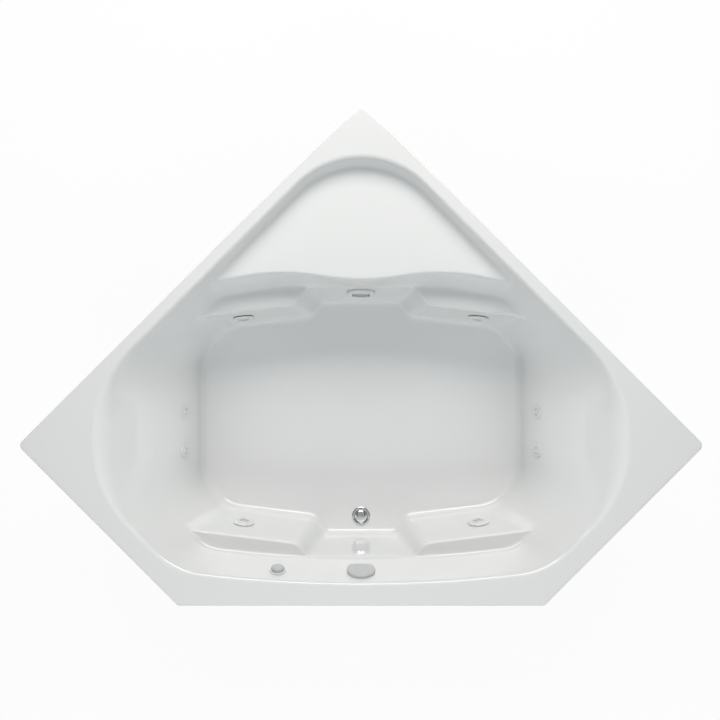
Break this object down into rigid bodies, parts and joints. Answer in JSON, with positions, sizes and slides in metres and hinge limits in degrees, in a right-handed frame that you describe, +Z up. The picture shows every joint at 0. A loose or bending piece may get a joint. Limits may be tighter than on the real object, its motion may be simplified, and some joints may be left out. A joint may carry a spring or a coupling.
{
  "type": "corner bath with water jets",
  "caption": "Five-sided corner bath with water jets, in white acrylic, with stepped armrests, turning jets, drain, overflow, air control, pump and pipework.",
  "frame": {"origin": "middle of the footprint, at the floor of the room", "axes": "+Z up, +Y from the front edge towards the corner of the room, +X towards the right tip seen from the front"},
  "size_m": [2.1386, 1.5754, 0.533],
  "materials": {
    "acrylic": "high gloss, white",
    "plywood": "bare plywood",
    "foot_plastic": "moulded, matte black",
    "chrome": "polished",
    "rubber": "matte black",
    "white_plastic": "moulded, white",
    "satin_plastic": "satin, off white",
    "pvc": "extruded, white",
    "waste_plastic": "moulded, black",
    "pump_plastic": "glass filled, black",
    "motor_paint": "satin paint, blue",
    "steel": "turned"
  },
  "bodies": {
    "bath": {"air_cap": "pvc", "air_control_body": "white_plastic", "air_control_nut": "white_plastic", "air_coupling": "pvc", "air_line_left": "pvc", "air_line_right": "pvc", "back_jet_bodies": "white_plastic", "back_jet_nuts": "white_plastic", "bath_shell": "acrylic", "deck_stiffeners": "plywood", "drain_flange": "chrome", "drain_gasket": "rubber", "drain_shoe": "waste_plastic", "fan_cover": "pump_plastic", "floor_board": "plywood", "jet_bodies": "white_plastic", "jet_gaskets": "rubber", "jet_nuts": "white_plastic", "overflow_cover": "satin_plastic", "overflow_elbow": "waste_plastic", "overflow_gasket": "rubber", "overflow_pipe": "waste_plastic", "pump_board": "plywood", "pump_motor": "motor_paint", "pump_pads": "rubber", "pump_saddle": "pump_plastic", "pump_volute": "pump_plastic", "seal_plate": "pump_plastic", "shaft_seal": "steel", "slip_nuts": "waste_plastic", "suction_body": "white_plastic", "suction_cover": "white_plastic", "suction_nut": "white_plastic", "suction_pipe": "pvc", "support_feet": "foot_plastic", "tail_pipe": "waste_plastic", "terminal_box": "pump_plastic", "waste_pipe": "waste_plastic", "waste_tee": "waste_plastic", "water_caps": "pvc", "water_line_left": "pvc", "water_line_right": "pvc", "water_tee": "pvc"},
    "stopper": {"drain_stopper": "chrome"},
    "knob": {"air_knob": "satin_plastic"},
    "impeller": {"pump_impeller": "steel"},
    "trim_back_left": {"jet_trim_back_left": "white_plastic"},
    "ball_back_left": {"jet_ball_back_left": "satin_plastic"},
    "trim_back_right": {"jet_trim_back_right": "white_plastic"},
    "ball_back_right": {"jet_ball_back_right": "satin_plastic"},
    "trim_front_left": {"jet_trim_front_left": "white_plastic"},
    "ball_front_left": {"jet_ball_front_left": "satin_plastic"},
    "trim_front_right": {"jet_trim_front_right": "white_plastic"},
    "ball_front_right": {"jet_ball_front_right": "satin_plastic"},
    "rotor_back_left": {"back_jet_rotor_back_left": "white_plastic"},
    "rotor_back_right": {"back_jet_rotor_back_right": "white_plastic"},
    "rotor_front_left": {"back_jet_rotor_front_left": "white_plastic"},
    "rotor_front_right": {"back_jet_rotor_front_right": "white_plastic"}
  },
  "joints": [
    {"name": "stopper_lift", "type": "slide", "parent": "bath", "child": "stopper", "axis": [0, 0, 1], "range_m": [0, 0.009]},
    {"name": "air_knob_turn", "type": "hinge", "parent": "bath", "child": "knob", "pos_m": [-0.26896, -0.69559, 0.47513], "axis": [0.0637, 0.9746, 0.2149], "range_deg": [0, 120]},
    {"name": "impeller_spin", "type": "hinge", "parent": "bath", "child": "impeller", "pos_m": [0, 0.4, 0.125], "axis": [0, 1, 0], "continuous": true},
    {"name": "jet_trim_back_left_turn", "type": "hinge", "parent": "bath", "child": "trim_back_left", "pos_m": [-0.418, 0.13524, 0.258], "axis": [0.1215, -0.9897, 0.0756], "range_deg": [0, 120]},
    {"name": "jet_ball_back_left_tilt", "type": "hinge", "parent": "trim_back_left", "child": "ball_back_left", "pos_m": [-0.41763, 0.13227, 0.25823], "axis": [0.9925, 0.1219, 0], "range_deg": [-12, 12]},
    {"name": "jet_trim_back_right_turn", "type": "hinge", "parent": "bath", "child": "trim_back_right", "pos_m": [0.418, 0.13524, 0.258], "axis": [-0.1215, -0.9897, 0.0756], "range_deg": [0, 120]},
    {"name": "jet_ball_back_right_tilt", "type": "hinge", "parent": "trim_back_right", "child": "ball_back_right", "pos_m": [0.41763, 0.13227, 0.25823], "axis": [0.9925, -0.1219, 0], "range_deg": [-12, 12]},
    {"name": "jet_trim_front_left_turn", "type": "hinge", "parent": "bath", "child": "trim_front_left", "pos_m": [-0.418, -0.59724, 0.258], "axis": [0.1215, 0.9897, 0.0756], "range_deg": [0, 120]},
    {"name": "jet_ball_front_left_tilt", "type": "hinge", "parent": "trim_front_left", "child": "ball_front_left", "pos_m": [-0.41763, -0.59427, 0.25823], "axis": [-0.9925, 0.1219, 0], "range_deg": [-12, 12]},
    {"name": "jet_trim_front_right_turn", "type": "hinge", "parent": "bath", "child": "trim_front_right", "pos_m": [0.418, -0.59724, 0.258], "axis": [-0.1215, 0.9897, 0.0756], "range_deg": [0, 120]},
    {"name": "jet_ball_front_right_tilt", "type": "hinge", "parent": "trim_front_right", "child": "ball_front_right", "pos_m": [0.41763, -0.59427, 0.25823], "axis": [-0.9925, -0.1219, 0], "range_deg": [-12, 12]},
    {"name": "back_jet_back_left_spin", "type": "hinge", "parent": "bath", "child": "rotor_back_left", "pos_m": [-0.63096, -0.203, 0.243], "axis": [0.9466, 0, 0.3226], "continuous": true},
    {"name": "back_jet_back_right_spin", "type": "hinge", "parent": "bath", "child": "rotor_back_right", "pos_m": [0.63096, -0.203, 0.243], "axis": [-0.9466, 0, 0.3226], "continuous": true},
    {"name": "back_jet_front_left_spin", "type": "hinge", "parent": "bath", "child": "rotor_front_left", "pos_m": [-0.63096, -0.341, 0.243], "axis": [0.9466, 0, 0.3226], "continuous": true},
    {"name": "back_jet_front_right_spin", "type": "hinge", "parent": "bath", "child": "rotor_front_right", "pos_m": [0.63096, -0.341, 0.243], "axis": [-0.9466, 0, 0.3226], "continuous": true}
  ]
}
